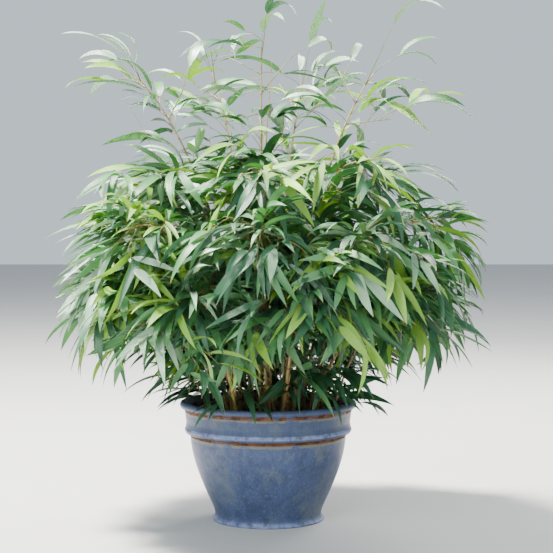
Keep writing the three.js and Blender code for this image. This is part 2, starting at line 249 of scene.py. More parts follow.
class Maker:
    """One material and the nodes that are added to it."""

    def __init__(self, name):
        self.material = bpy.data.materials.new(name)
        self.material.use_nodes = True
        self.tree = self.material.node_tree
        self.tree.nodes.clear()

    def node(self, kind, settings=None, inputs=None, output=0):
        """Adds a node with its settings and its sockets' values or links, and gives one of its outputs."""
        made = self.tree.nodes.new(kind)
        for name, value in (settings or {}).items():
            setattr(made, name, value)
        for key, value in (inputs or {}).items():
            if isinstance(value, Value):
                self.tree.links.new(value.socket, made.inputs[key])
            else:
                made.inputs[key].default_value = value
        return Value(self, made.outputs[output]) if made.outputs else made

    def place(self):
        return self.node("ShaderNodeTexCoord", output="Object")

    def part(self, vector, axis):
        return self.node("ShaderNodeSeparateXYZ", inputs={0: vector}, output=axis)

    def scaled(self, vector, scale):
        return self.node("ShaderNodeVectorMath", {"operation": "MULTIPLY"}, {0: vector, 1: scale})

    def noise(self, vector, scale, detail, roughness):
        return self.node(
            "ShaderNodeTexNoise",
            inputs={"Vector": vector, "Scale": scale, "Detail": detail, "Roughness": roughness},
        )

    def ramp(self, value, low, high):
        """0 below low, 1 above high, and smooth between."""
        return self.node(
            "ShaderNodeMapRange",
            {"interpolation_type": "SMOOTHSTEP"},
            {"Value": value, "From Min": low, "From Max": high},
        )

    def band(self, value, low, high, soft):
        """1 between low and high, and 0 beyond a soft edge."""
        return self.ramp(value, low - soft, low) * (1 - self.ramp(value, high, high + soft))

    def mix(self, share, first, second):
        return self.node(
            "ShaderNodeMix",
            {"data_type": "RGBA"},
            {0: share, 6: rgba(first), 7: rgba(second)},
            output=2,
        )

    def layered(self, base, *layers):
        """The base with each layer's colour mixed over it in turn, by its share."""
        for share, colour in layers:
            base = self.mix(share, base, colour)
        return base

    def attribute(self, name):
        return self.node("ShaderNodeAttribute", {"attribute_name": name}, output="Fac")

    def bump(self, height, distance):
        return self.node("ShaderNodeBump", inputs={"Height": height, "Distance": distance})

    def surface(self, **inputs):
        """A Principled shader, whose sockets are named in small letters, as base_color is."""
        named = {}
        for name, value in inputs.items():
            named[name.replace("_", " ").title().replace("Ior", "IOR")] = value
        return self.node("ShaderNodeBsdfPrincipled", inputs=named)

    def finish(self, shader):
        self.node("ShaderNodeOutputMaterial", inputs={"Surface": shader})
        return self.material


def rgba(colour):
    """A colour as a node's socket takes it. An output of a node stays as it is."""
    if isinstance(colour, Value):
        return colour
    return (*tuple(colour)[:3], 1.0)


def shade(colour, amount):
    """A colour made darker or lighter by one factor."""
    return tuple(min(1.0, channel * amount) for channel in tuple(colour)[:3])


def linear(red, green, blue):
    """A screen colour of 0 to 255 as the linear colour that nodes take."""
    return tuple((channel / 255) ** 2.2 for channel in (red, green, blue))


def glaze_material(colour):
    """Mottled blue with drier patches, with a painted highlight on the ridge's top and the foot's flare,
    and worn to rust below the ridge and the lip.
    """
    maker = Maker("glaze")
    place = maker.place()
    height = maker.part(place, "Z")
    speckle = maker.noise(place, 210, 5, 0.7)
    mottle = maker.noise(place, 46, 6, 0.68)
    cloud = maker.noise(place, 9, 4, 0.6)
    patch = maker.noise(place, 13, 5, 0.66)
    rust = maker.noise(place, 34, 5, 0.6)
    streak = maker.noise(maker.scaled(place, (95, 95, 4.5)), 1, 5, 0.66)
    hatch = maker.noise(maker.scaled(place, (340, 340, 26)), 1, 4, 0.6)
    collar = maker.ramp(height, RIDGE_HEIGHT, RIDGE_HEIGHT + RIDGE_HALF)
    # Painted highlight: the ridge's upward face and the foot's flare are made paler, where the light falls
    # on them
    ridge_top = maker.band(height, RIDGE_HEIGHT, RIDGE_HEIGHT + 5 * MM, 3 * MM)
    foot_flare = 1 - maker.ramp(height, 5 * MM, 14 * MM)
    painted_highlight = (ridge_top + foot_flare) * maker.ramp(mottle, 0.3, 0.6)
    ochre, worn = rust_bands(maker, height, rust)
    base = maker.layered(
        maker.mix(maker.ramp(mottle, 0.34, 0.68), shade(colour, 0.78), shade(colour, 1.2)),
        (maker.ramp(cloud, 0.42, 0.7) * 0.4, shade(colour, 1.4)),
        (maker.ramp(streak, 0.5, 0.72) * 0.5, shade(colour, 0.6)),
        (maker.ramp(hatch, 0.46, 0.66) * 0.4, shade(colour, 0.62)),
        (maker.ramp(patch, 0.5, 0.68) * 0.42, linear(106, 114, 112)),
        (maker.ramp(speckle, 0.55, 0.72) * 0.3, linear(140, 156, 178)),
        (collar * 0.4, linear(54, 68, 88)),
        # the painted highlight on the ridge's top and the foot's flare, pale blue
        (painted_highlight * 0.6, linear(138, 152, 196)),
        (ochre * 0.55, linear(120, 116, 84)),
        (worn, maker.mix(maker.ramp(mottle, 0.35, 0.6), linear(58, 40, 32), linear(106, 72, 52))),
    )
    relief = mottle * 0.5 + streak * 0.7 + speckle * 0.12 - worn * 0.5
    shader = maker.surface(
        base_color=base,
        roughness=0.34 + mottle * 0.16 + worn * 0.3,
        specular_ior_level=0.2,
        coat_weight=0.07 - worn * 0.07,
        coat_roughness=0.12,
        normal=maker.bump(relief, 0.9 * MM),
    )
    return maker.finish(shader)


def rust_bands(maker, height, rust):
    """Ragged rings below the ridge and the lip: dull ochre, and rust where the glaze is worn off."""
    ridge_foot = RIDGE_HEIGHT - RIDGE_HALF
    lip_foot = POT_HEIGHT - LIP_DEPTH
    ragged = height + rust * 6 * MM - 3 * MM
    ochre = maker.band(ragged, ridge_foot - 12 * MM, ridge_foot - 4 * MM, 2 * MM)
    ochre = ochre + maker.band(ragged, lip_foot - 11 * MM, lip_foot - 6 * MM, 2 * MM)
    under_ridge = maker.band(ragged, ridge_foot - 6 * MM, ridge_foot + 1 * MM, 1.5 * MM)
    under_lip = maker.band(ragged, lip_foot - 6 * MM, lip_foot + 2 * MM, 1.5 * MM)
    worn = under_ridge * maker.ramp(rust, 0.30, 0.42) + under_lip * maker.ramp(rust, 0.36, 0.46)
    return ochre * maker.ramp(rust, 0.36, 0.5), worn.math("MINIMUM", worn, 1.0)


def soil_material(colour):
    """Dark damp lumps, drier in patches."""
    maker = Maker("soil")
    place = maker.place()
    lumps = maker.noise(place, 120, 6, 0.7)
    damp = maker.noise(place, 14, 3, 0.5)
    base = maker.mix(maker.ramp(lumps, 0.35, 0.7), shade(colour, 0.6), shade(colour, 2.4))
    base = maker.mix(maker.ramp(damp, 0.45, 0.65) * 0.6, base, shade(colour, 0.7))
    shader = maker.surface(
        base_color=base, roughness=0.95 - damp * 0.2, normal=maker.bump(lumps, 2.5 * MM)
    )
    return maker.finish(shader)


def crumb_material(colour):
    """Crumbs from dark to pale, by patches smaller than the soil's."""
    maker = Maker("soil_crumbs")
    place = maker.place()
    patch = maker.noise(place, 260, 3, 0.6)
    grain = maker.noise(place, 900, 3, 0.6)
    base = maker.mix(maker.ramp(patch, 0.4, 0.62), shade(colour, 0.9), shade(colour, 4.2))
    shader = maker.surface(
        base_color=base, roughness=0.92 - grain * 0.2, normal=maker.bump(grain, 0.5 * MM)
    )
    return maker.finish(shader)


def cane_material(colour):
    """Tan to olive, blotched lengthwise, with a dark ring at each node."""
    maker = Maker("cane")
    place = maker.place()
    tone = maker.attribute("tone")
    ring = maker.attribute("ring")
    fibre = maker.noise(maker.scaled(place, (520, 520, 22)), 1, 4, 0.6)
    blotch = maker.noise(maker.scaled(place, (60, 60, 18)), 1, 4, 0.6)
    base = maker.layered(
        maker.mix(tone, shade(colour, 0.5), linear(158, 146, 66)),
        (maker.ramp(blotch, 0.46, 0.62) * 0.8, linear(118, 66, 30)),
        (maker.ramp(fibre, 0.42, 0.7) * 0.4, linear(206, 184, 128)),
        (ring * 0.85, linear(74, 56, 36)),
    )
    relief = fibre * 0.4 + ring
    shader = maker.surface(
        base_color=base, roughness=0.4 + blotch * 0.2, coat_weight=0.12,
        normal=maker.bump(relief, 0.4 * MM),
    )
    return maker.finish(shader)


def sheath_material():
    """Dry papery sheath, ribbed along its length."""
    maker = Maker("sheath")
    place = maker.place()
    rib = maker.noise(maker.scaled(place, (700, 700, 12)), 1, 3, 0.5)
    stain = maker.noise(place, 60, 4, 0.6)
    base = maker.mix(maker.ramp(stain, 0.4, 0.65), linear(188, 156, 98), linear(126, 88, 46))
    base = maker.mix(maker.ramp(rib, 0.45, 0.6) * 0.4, base, linear(214, 190, 140))
    front = maker.surface(base_color=base, roughness=0.7 + rib * 0.15, normal=maker.bump(rib, 0.5 * MM))
    back = maker.node("ShaderNodeBsdfTranslucent", inputs={"Color": rgba(linear(164, 130, 78))})
    return maker.finish(maker.node("ShaderNodeMixShader", inputs={0: 0.2, 1: front, 2: back}))


def twig_material():
    """Green to straw, as young shoots and ripe twigs are."""
    maker = Maker("twig")
    place = maker.place()
    tone = maker.noise(place, 30, 4, 0.6)
    grain = maker.noise(place, 700, 3, 0.5)
    base = maker.mix(maker.ramp(tone, 0.4, 0.62), linear(94, 108, 48), linear(138, 124, 66))
    shader = maker.surface(
        base_color=base, roughness=0.5 + grain * 0.1, normal=maker.bump(grain, 0.2 * MM)
    )
    return maker.finish(shader)


# Across a blade, in radians of the wave that its veins follow
VEIN_TURNS = 110.0


def leaf_material(name, colour, glow, through, rough):
    """A blade with a pale midrib, fine parallel veins and a dry tip, that lets some light through."""
    maker = Maker(name)
    blade = maker.node("ShaderNodeUVMap", {"uv_map": "Blade"})
    along = maker.part(blade, "X")
    across = maker.part(blade, "Y")
    tone = maker.attribute("tone")
    cloud = maker.noise(maker.place(), 26, 3, 0.6)
    midrib = maker.band(across, 0.485, 0.515, 0.02) * (1 - maker.ramp(along, 0.7, 0.95))
    tip = maker.ramp(along + tone * 0.06, 0.965, 1.01)
    base = maker.layered(
        maker.mix(tone, shade(colour, 0.66), shade(colour, 1.5)),
        (maker.ramp(cloud, 0.45, 0.65) * 0.35, shade(colour, 0.75)),
        (midrib * 0.6, glow),
        (tip * 0.75, linear(168, 146, 84)),
    )
    vein = maker.node("ShaderNodeMath", {"operation": "SINE"}, {0: across * VEIN_TURNS})
    relief = vein * 0.25 - midrib
    front = maker.surface(
        base_color=base, roughness=rough + cloud * 0.12, specular_ior_level=0.6,
        normal=maker.bump(relief, 0.25 * MM),
    )
    back = maker.node("ShaderNodeBsdfTranslucent", inputs={"Color": rgba(glow)})
    return maker.finish(maker.node("ShaderNodeMixShader", inputs={0: through, 1: front, 2: back}))


def floor_material(colour):
    maker = Maker("floor")
    place = maker.place()
    tone = maker.noise(place, 2.2, 5, 0.6)
    base = maker.mix(tone, shade(colour, 0.94), shade(colour, 1.06))
    return maker.finish(maker.surface(base_color=base, roughness=0.8 + tone * 0.1))


# Meshes
def add_mesh(name, points, faces, material, blade_map=None, **values):
    """A piece from arrays of points and faces, with a value for each point as attributes."""
    mesh = bpy.data.meshes.new(name)
    mesh.from_pydata(np.asarray(points).tolist(), [], [list(face) for face in faces])
    if blade_map is not None:
        layer = mesh.uv_layers.new(name="Blade")
        layer.data.foreach_set("uv", np.asarray(blade_map, dtype=np.float32).ravel())
    for key, row in values.items():
        attribute = mesh.attributes.new(key, "FLOAT", "POINT")
        attribute.data.foreach_set("value", np.asarray(row, dtype=np.float32))
    mesh.materials.append(material)
    mesh.shade_smooth()
    piece = bpy.data.objects.new(name, mesh)
    bpy.context.scene.collection.objects.link(piece)
    return piece


def bezier_points(controls, steps):
    """Points along a Bezier curve of any degree, its start left out."""
    controls = np.asarray(controls, dtype=float)
    shares = np.linspace(0, 1, steps + 1)[1:, None]
    degree = len(controls) - 1
    total = 0
    for k, control in enumerate(controls):
        weight = math.comb(degree, k) * shares**k * (1 - shares) ** (degree - k)
        total = total + weight * control
    return total


def ring_faces(first, rings, sides):
    """The squares between rings of points that follow each other from the first point on."""
    faces = []
    for low in range(first, first + (rings - 1) * sides, sides):
        high = low + sides
        for i in range(sides):
            j = (i + 1) % sides
            faces.append((low + i, low + j, high + j, high + i))
    return faces


# The pot's wall strays from round only this far out and farther, so that it stays closed at the axis
WOBBLE_FROM = 50 * MM


def turned(outline, sides, wobble=0.0):
    """Points and faces of an outline turned about the axis. It starts and ends on the axis."""
    outline = np.asarray(outline, dtype=float)
    rings = outline[1:-1]
    turns = np.linspace(0, 2 * math.pi, sides, endpoint=False)
    stray = wobble * (0.6 * np.sin(2 * turns + 0.7) + 0.4 * np.sin(5 * turns + 2.1))
    radius = rings[:, 0, None] + stray[None, :] * (rings[:, 0, None] > WOBBLE_FROM)
    height = np.repeat(rings[:, 1, None], sides, axis=1)
    body = np.stack([radius * np.cos(turns), radius * np.sin(turns), height], axis=2).reshape(-1, 3)
    points = np.vstack([body, (0, 0, outline[0, 1]), (0, 0, outline[-1, 1])])
    first, last = len(body), len(body) + 1
    top = len(body) - sides
    faces = ring_faces(0, len(rings), sides)
    for i in range(sides):
        j = (i + 1) % sides
        faces.append((first, j, i))
        faces.append((top + i, top + j, last))
    return points, faces


def round_out(radius, height, half):
    """The controls of a half round that stands out of the outline."""
    out = radius + 4 / 3 * half
    return ((radius, height - half), (out, height - half), (out, height + half), (radius, height + half))


def inner_wall(clearance):
    """The controls of the pot's inner wall, from the soil's edge down to the floor."""
    low_radius = WAIST_RADIUS - WALL - clearance
    return (
        (SHOULDER_RADIUS - clearance - INNER_FLARE, SOIL_LEVEL - SOIL_FALL),
        (SHOULDER_RADIUS - WALL - clearance, FLOOR + INNER_BEND_HIGH),
        (low_radius, FLOOR + INNER_BEND_LOW),
        (low_radius, FLOOR + clearance),
    )


def curve_on(line, controls, steps):
    """Draws an outline on by a Bezier curve, from where it has come to."""
    line.extend(bezier_points([line[-1], *controls], steps))


def pot_outline():
    """From the middle of the pot's underside, out and up to the lip, and down inside to its floor."""
    lip_half = LIP_DEPTH / 2
    lip_centre = POT_HEIGHT - lip_half
    inner = RIM_RADIUS - LIP_WIDTH
    line = [(0, 0), (FOOT_RADIUS - FOOT_EDGE, 0)]
    curve_on(line, [(FOOT_RADIUS, 0), (FOOT_RADIUS, FOOT_EDGE)], 4)
    curve_on(line, [(WAIST_RADIUS, FOOT_COVE_HEIGHT), (WAIST_RADIUS, WAIST_HEIGHT)], 8)
    curve_on(line, [BELLY_LOW, BELLY_HIGH, (SHOULDER_RADIUS, SHOULDER_HEIGHT)], 28)
    line.append((SHOULDER_RADIUS, RIDGE_HEIGHT - RIDGE_HALF - RIDGE_NECK))
    ridge = round_out(RIDGE_RADIUS - RIDGE_HALF, RIDGE_HEIGHT, RIDGE_HALF)
    line.append(ridge[0])
    # The last steps of the ridge's half round are left out, so that the collar eases out of it
    line.extend(bezier_points(ridge, 14)[:-4])
    ease = (COLLAR_FOOT_RADIUS + 1 * MM, RIDGE_HEIGHT + 6 * MM)
    curve_on(line, [ease, (COLLAR_FOOT_RADIUS, COLLAR_FOOT_HEIGHT)], 8)
    curve_on(line, [(COLLAR_TOP_RADIUS, lip_centre - lip_half)], 8)
    lip = round_out(RIM_RADIUS - lip_half, lip_centre, lip_half)
    line.append(lip[0])
    curve_on(line, lip[1:], 14)
    line.append((inner + LIP_BEVEL, POT_HEIGHT))
    curve_on(line, [(inner, POT_HEIGHT), (inner, POT_HEIGHT - LIP_BEVEL)], 5)
    wall = inner_wall(0.0)
    line.append(wall[0])
    curve_on(line, wall[1:], 16)
    line.append((0, FLOOR))
    return line


def soil_outline():
    """From the middle of the soil's underside, out and up the pot's wall, and in over its top."""
    wall = inner_wall(CLEARANCE)
    edge = wall[0][0]
    line = [(0, FLOOR + CLEARANCE), wall[-1]]
    line.extend(bezier_points(wall[::-1], 14))
    for radius in np.linspace(edge, 0, 26)[1:-1]:
        outside = max(0, (radius - SOIL_FLAT_RADIUS) / (edge - SOIL_FLAT_RADIUS))
        line.append((radius, SOIL_LEVEL - SOIL_FALL * outside))
    line.append((0, SOIL_LEVEL))
    return line


# The source's growth, repeated here: how its canes vary, in millimetres, degrees and radians
VARIES = dict(azimuth=5, foot=6, rise=20, bend_radius=20, height=25, sway=0.07, tip_radius=25)
LEAN_SHARE = 0.25
SPIRE_BENDS = ((0.1, 0.4), (0.55, 0.85))

# Its masses: where each one starts, and how its twigs and leaves vary
STEM_START = 0.55
STEM_STEPS = 4
TWIG_STEPS = 2
TWIG_LENGTH = (80, 120)
TWIG_SPREAD = (0.7, 1.3)
TWIG_RISE = (-0.3, 0.7)
TWIG_BEND_AT = 0.55
TWIG_FALL = 0.4
FIRST_TWIG = 0.6
GOLDEN_TURN = 2.4
UPRIGHT = 0.8
SPRAY_LEAVES = 6
SPRAY_GAP = 13 * MM
LEAF_LENGTH = 200 * MM
LEAF_SPREAD = dict(first=0.1, step=0.3, varies=0.1)
LEAF_FALL = (0.5, 1.5)
LEAF_TILT = (-0.4, 0.4)
LEAF_SHARE = (0.85, 1.1)
LEAF_ARCH = (0.03, 0.09)
SPACE_MARGIN = 0.9 * MM
ENTRY_STEPS = 200


class SeededRun:
    """The source's run of seeded numbers."""

    def __init__(self, seed):
        self.state = seed % 2**32

    def __call__(self, low, high):
        self.state = (self.state * 1664525 + 1013904223) % 2**32
        return low + (high - low) * self.state / 2**32


def polar(radius, azimuth, height):
    return Vector((radius * math.cos(azimuth), radius * math.sin(azimuth), height))


class Path:
    """A cane's path, a cubic curve from its foot to its tip, and what its mass of leaves goes by."""

    def __init__(self, controls, habit):
        self.controls = [control * MM for control in controls]
        self.habit = habit
        self.heart = self.at(habit["heart"]) - Vector((0, 0, habit["hang"] * MM))
        self.entry = 1.0

    def at(self, t):
        a, b, c, d = self.controls
        u = 1 - t
        return a * u**3 + b * (3 * u * u * t) + c * (3 * u * t * t) + d * t**3

    def line(self, start, end, steps):
        return [self.at(start + (end - start) * i / steps) for i in range(steps + 1)]


def grow_paths():
    """The paths of all canes, tier by tier, and then those of the tall ones."""
    draw = SeededRun(PLANT_SEED)

    def about(size, kind):
        return size + draw(-VARIES[kind], VARIES[kind])

    soil = SOIL_LEVEL / MM + CLEARANCE / MM
    paths = []
    for tier in TIERS.values():
        for i in range(tier["count"]):
            azimuth = math.radians(about(tier["turn"] + 360 * i / tier["count"], "azimuth"))
            foot = polar(about(tier["foot"], "foot"), azimuth, soil)
            lean = polar(tier["foot"] * LEAN_SHARE, azimuth, about(tier["rise"], "rise"))
            bend_radius = about(tier["bend"][0], "bend_radius")
            bend = polar(bend_radius, azimuth, about(tier["bend"][1], "height"))
            sway = about(azimuth, "sway")
            tip_radius = about(tier["tip"][0], "tip_radius")
            tip = polar(tip_radius, sway, about(tier["tip"][1], "height"))
            paths.append(Path((foot, foot + lean, bend, tip), tier))
    for spire in SPIRES:
        tip = Vector(spire)
        flat = Vector((tip.x, tip.y, 0))
        if flat.length > SPIRE["foot"]:
            flat *= SPIRE["foot"] / flat.length
        foot = Vector((flat.x, flat.y, soil))
        bends = []
        for across, up in SPIRE_BENDS:
            bend = foot.lerp(tip, across)
            bend.z = foot.z + (tip.z - foot.z) * up
            bends.append(bend)
        paths.append(Path((foot, *bends, tip), SPIRE))
    return paths


def find_entries(paths):
    """Where each path enters its own mass's space for good, as the source finds it."""
    hearts = np.array([path.heart for path in paths])
    rooms = np.array([path.habit["room"] * MM for path in paths])
    for index, path in enumerate(paths):
        apart = np.linalg.norm(hearts - hearts[index], axis=1)
        apart[index] = 1.0
        for step in range(ENTRY_STEPS, -1, -1):
            t = step / ENTRY_STEPS
            far = ((np.array(path.at(t)) - hearts) ** 2).sum(axis=1) - rooms**2
            margin = (far - far[index]) / (2 * apart)
            margin[index] = 1.0
            if t < STEM_START or margin.min() <= SPACE_MARGIN:
                break
            path.entry = t


def line_length(line):
    """The whole length of a line of points."""
    return sum((b - a).length for a, b in zip(line, line[1:]))


def stretch_at(line, along):
    """The ends of the stretch of a line that a share of it falls in, and how far along the stretch."""
    stretches = len(line) - 1
    index = min(max(int(math.floor(along * stretches)), 0), stretches - 1)
    return line[index], line[index + 1], along * stretches - index


def place_on(line, along):
    start, end, share = stretch_at(line, along)
    return start.lerp(end, share)


def course_on(line, along):
    start, end, _ = stretch_at(line, along)
    return (end - start).normalized()


def leaning(course, number, spread):
    """A course turned off to one side and the other in turn, or all round where it is upright."""
    side = Vector((-course.y, course.x, 0)).normalized() * (1 if number % 2 else -1)
    if course.z > UPRIGHT:
        side = polar(1, GOLDEN_TURN * number, 0)
    return course * math.cos(spread) + side * math.sin(spread)


def spray_sites(line, fall, draw):
    """Where the source puts a spray's leaves: foot, direction and length of each."""
    whole = line_length(line)
    varies = LEAF_SPREAD["varies"]
    sites = []
    for i in range(SPRAY_LEAVES):
        at = 1 - SPRAY_GAP * i / whole
        spread = LEAF_SPREAD["first"] + LEAF_SPREAD["step"] * i + draw(-varies, varies)
        direction = leaning(course_on(line, at), i, spread)
        direction.z -= fall * draw(*LEAF_FALL)
        direction.normalize()
        # The source's tilt, width and arch aren't used here, and are drawn to keep its run in step
        draw(*LEAF_TILT)
        draw(*LEAF_TILT)
        length = LEAF_LENGTH * draw(*LEAF_SHARE)
        draw(*LEAF_SHARE)
        draw(*LEAF_ARCH)
        sites.append((place_on(line, at), direction, length))
    return sites


def twig_lines(stem, habit, draw):
    """The twigs along a mass's stem, which rise from it and bow down at their ends."""
    lines = []
    for i in range(habit["twigs"]):
        at = (i + FIRST_TWIG) / (habit["twigs"] + (1 - FIRST_TWIG))
        foot = place_on(stem, at)
        direction = leaning(course_on(stem, at), i, draw(*TWIG_SPREAD))
        direction.z += draw(*TWIG_RISE)
        direction.normalize()
        length = draw(*TWIG_LENGTH) * MM
        middle = foot + direction * (length * TWIG_BEND_AT)
        tip = foot + direction * length
        tip.z -= habit["fall"] * length * TWIG_FALL
        lines.append([foot] + [Vector(p) for p in bezier_points([foot, middle, tip], TWIG_STEPS)])
    return lines


def grow_mass(path, seed):
    """A mass's twigs and the sites of its sprays, by the source's rule."""
    draw = SeededRun(seed)
    fall = path.habit["fall"]
    stem = path.line(path.entry, 1.0, STEM_STEPS)
    sites = spray_sites(stem, fall, draw)
    twigs = twig_lines(stem, path.habit, draw)
    for twig in twigs:
        sites += spray_sites(twig, fall, draw)
    return twigs, sites


# Limbs as tubes
class Tubes:
    """Round limbs of one piece, gathered as arrays."""

    def __init__(self):
        self.points = []
        self.faces = []
        self.tones = []
        self.rings = []
        self.count = 0

    def add(self, line, radii, sides, tones=0.5, rings=0.0):
        """A limb along a line, flat at its foot and pointed at its tip."""
        line = np.asarray(line, dtype=float)
        steps = len(line)
        radii = np.broadcast_to(radii, steps)
        courses = np.gradient(line, axis=0)
        courses /= np.linalg.norm(courses, axis=1)[:, None]
        side = np.cross(courses[0], (0.31, 0.95, 0.03))
        turns = np.linspace(0, 2 * math.pi, sides, endpoint=False)
        for place, course, radius in zip(line, courses, radii):
            side = side - course * side.dot(course)
            side /= np.linalg.norm(side)
            other = np.cross(course, side)
            spokes = np.cos(turns)[:, None] * side + np.sin(turns)[:, None] * other
            self.points.append(place + radius * spokes)
        self.points += [line[:1], line[-1:] + courses[-1:] * radii[-1]]
        first = self.count
        top = first + (steps - 1) * sides
        foot, tip = top + sides, top + sides + 1
        around = [(i, (i + 1) % sides) for i in range(sides)]
        self.faces += ring_faces(first, steps, sides)
        self.faces += [(foot, first + j, first + i) for i, j in around]
        self.faces += [(tip, top + i, top + j) for i, j in around]
        self.count = tip + 1
        for store, values in ((self.tones, tones), (self.rings, rings)):
            row = np.broadcast_to(values, steps)
            store.append(np.concatenate([np.repeat(row, sides), row[:1], row[-1:]]))

    def piece(self, name, material):
        return add_mesh(
            name, np.vstack(self.points), self.faces, material,
            tone=np.concatenate(self.tones), ring=np.concatenate(self.rings),
        )


# Points along a cane: plain ones in even steps, and four at each node, with how far it stands out there
CANE_STEP = 16 * MM
NODE_ROOM = 6 * MM
NODE_SHAPE = ((-2.2 * MM, 0.15), (0.0, 1.0), (1.6 * MM, 0.6), (4.0 * MM, 0.0))


def cane_samples(length, gap, random):
    """Distances along a cane, how far each stands out, and the distances of its nodes."""
    nodes = []
    reach = random.uniform(0.3, 0.8) * gap
    while reach < length - 10 * MM:
        nodes.append(reach)
        reach += gap * random.uniform(0.7, 1.3)
    plain = np.arange(0, length, CANE_STEP)
    marks = {at: 0.0 for at in plain if all(abs(at - node) > NODE_ROOM for node in nodes)}
    for node in nodes:
        for beside, mark in NODE_SHAPE:
            marks[node + beside] = mark
    marks[length] = 0.0
    ordered = sorted(at for at in marks if 0 <= at <= length)
    return np.array(ordered), np.array([marks[at] for at in ordered]), nodes


def along_line(line, distances):
    """Points at distances along a finely stepped line, and its whole length."""
    line = np.asarray(line, dtype=float)
    reach = np.concatenate([[0], np.cumsum(np.linalg.norm(np.diff(line, axis=0), axis=1))])
    points = np.stack([np.interp(distances, reach, line[:, axis]) for axis in range(3)], axis=1)
    return points, reach[-1]


# Leaves as blades: how wide one is along its length, how its droop grows, and its hard edge
STATIONS = np.array([0.0, 0.03, 0.09, 0.18, 0.30, 0.43, 0.56, 0.69, 0.82, 0.92, 1.0])
FULLNESS = np.array([0.0, 0.07, 0.50, 0.84, 0.98, 1.0, 0.90, 0.72, 0.44, 0.19, 0.0])
DROOP_GROWTH = 1.2
SIDEWAYS = np.array([0.0, 1.0, 0.0])
BLADE_THICKNESS = 0.35 * MM
BORDER_ANGLE = math.radians(70)


class Leaves:
    """Leaves of one piece, gathered one by one and made as one joined mesh."""

    def __init__(self):
        self.rows = []

    def add(self, foot, direction, length, width, droop, twist, curl, fold, facing, tone):
        self.rows.append((*foot, *direction, length, width, droop, twist, curl, fold, *facing, tone))

    def piece(self, name, material):
        rows = np.array(self.rows, dtype=float)
        points = blade_points(rows)
        count = points.shape[1]
        faces, uvs = blade_faces()
        starts = range(0, len(rows) * count, count)
        joined = [tuple(start + corner for corner in face) for start in starts for face in faces]
        piece = add_mesh(
            name, points.reshape(-1, 3), joined, material,
            blade_map=np.tile(uvs, (len(rows), 1)), tone=np.repeat(rows[:, -1], count),
        )
        piece.data.set_sharp_from_angle(angle=BORDER_ANGLE)
        return piece


def blade_faces():
    """The faces of one blade, and the place along and across it of each face's corners."""
    sections = len(STATIONS) - 2
    last = 1 + sections * 4
    sides = (0.0, 0.5, 1.0, 0.5)
    faces, uvs = [], []
    for corner in range(4):
        after = (corner + 1) % 4
        low, high = sides[corner], sides[after]
        faces.append((0, 1 + after, 1 + corner))
        uvs += [(0.0, 0.5), (STATIONS[1], high), (STATIONS[1], low)]
        for section in range(sections - 1):
            near, far = 1 + section * 4, 5 + section * 4
            faces.append((near + corner, near + after, far + after, far + corner))
            start, end = STATIONS[section + 1], STATIONS[section + 2]
            uvs += [(start, low), (start, high), (end, high), (end, low)]
        top = 1 + (sections - 1) * 4
        faces.append((top + corner, top + after, last))
        uvs += [(STATIONS[-2], low), (STATIONS[-2], high), (1.0, 0.5)]
    return faces, np.array(uvs)


def blade_spine(length, droop, curl):
    """The middle line of every blade: how far forward, aside and up from its foot it comes."""
    middle = (STATIONS[1:] + STATIONS[:-1]) / 2
    step = np.diff(STATIONS)[:, None]
    bent = droop * middle**DROOP_GROWTH
    aside = curl * middle
    course = [np.cos(bent) * np.cos(aside), np.cos(bent) * np.sin(aside), -np.sin(bent)]
    spine = np.cumsum(np.stack(course, axis=2) * step, axis=1)
    foot = np.zeros((len(spine), 1, 3))
    return np.concatenate([foot, spine], axis=1) * length[:, None]


def blade_points(rows):
    """The points of every blade: its foot, the four corners of each section, and its tip."""
    foot, direction, facing = rows[:, 0:3], rows[:, 3:6], rows[:, 12:15]
    length, width, droop, twist, curl, fold = (rows[:, k, None] for k in range(6, 12))
    side = np.cross(facing, direction)
    side /= np.linalg.norm(side, axis=1)[:, None]
    axes = np.stack([direction, side, np.cross(direction, side)], axis=1)
    spine = blade_spine(length, droop, curl)
    slope = droop * STATIONS**DROOP_GROWTH
    normal = np.stack([np.sin(slope), np.zeros_like(slope), np.cos(slope)], axis=2)
    roll = (twist * STATIONS)[:, :, None]
    flat = np.cos(roll) * SIDEWAYS + np.sin(roll) * normal
    proud = np.cos(roll) * normal - np.sin(roll) * SIDEWAYS
    half = width / 2 * FULLNESS
    lift = (half * np.sin(fold))[:, :, None] * proud
    reach = (half * np.cos(fold))[:, :, None] * flat
    thick = (BLADE_THICKNESS / 2 * np.minimum(1, FULLNESS * 4))[None, :, None] * proud
    corners = [spine - reach + lift, spine + thick, spine + reach + lift, spine - thick]
    placed = np.einsum("nski,nij->nskj", np.stack(corners, axis=2), axes) + foot[:, None, None, :]
    sections = placed[:, 1:-1].reshape(len(rows), -1, 3)
    return np.concatenate([placed[:, 0, 1:2], sections, placed[:, -1, 1:2]], axis=1)


# Where leaves may be: clear of the pot, in the solids' box, above the least height and in the dome
POT_CLEAR = 6 * MM
BOX_ROOM = 6 * MM
LEAST_HEIGHT = 205 * MM
DOME_WIDEST = 520 * MM
DOME_RADIUS = 500 * MM
DOME_RISE = 400 * MM
DOME_FALL = 312 * MM

# Sprays, which the scene grows in place of each leaf of the source, and their leaves: what they vary by
SPRAY = dict(
    rise=(-0.1, 0.5), tall_rise=(0.0, 0.75), leader=(0.25, 0.42), blade=(0.66, 0.92), turn=(-0.9, 0.9),
    bound=(0.75, 1.45), gap=(0.14, 0.24),
)
LEAF = dict(
    stray=(-0.2, 0.2), rise=(-0.25, 0.4), length=(0.72, 1.08), width=(0.75, 1.12), droop=(0.25, 1.0),
    facing=(-0.6, 0.6), twist=(-0.6, 0.6), curl=(-0.3, 0.3), fold=(0.1, 0.5),
)
FULL_WIDTH_FROM = 145 * MM

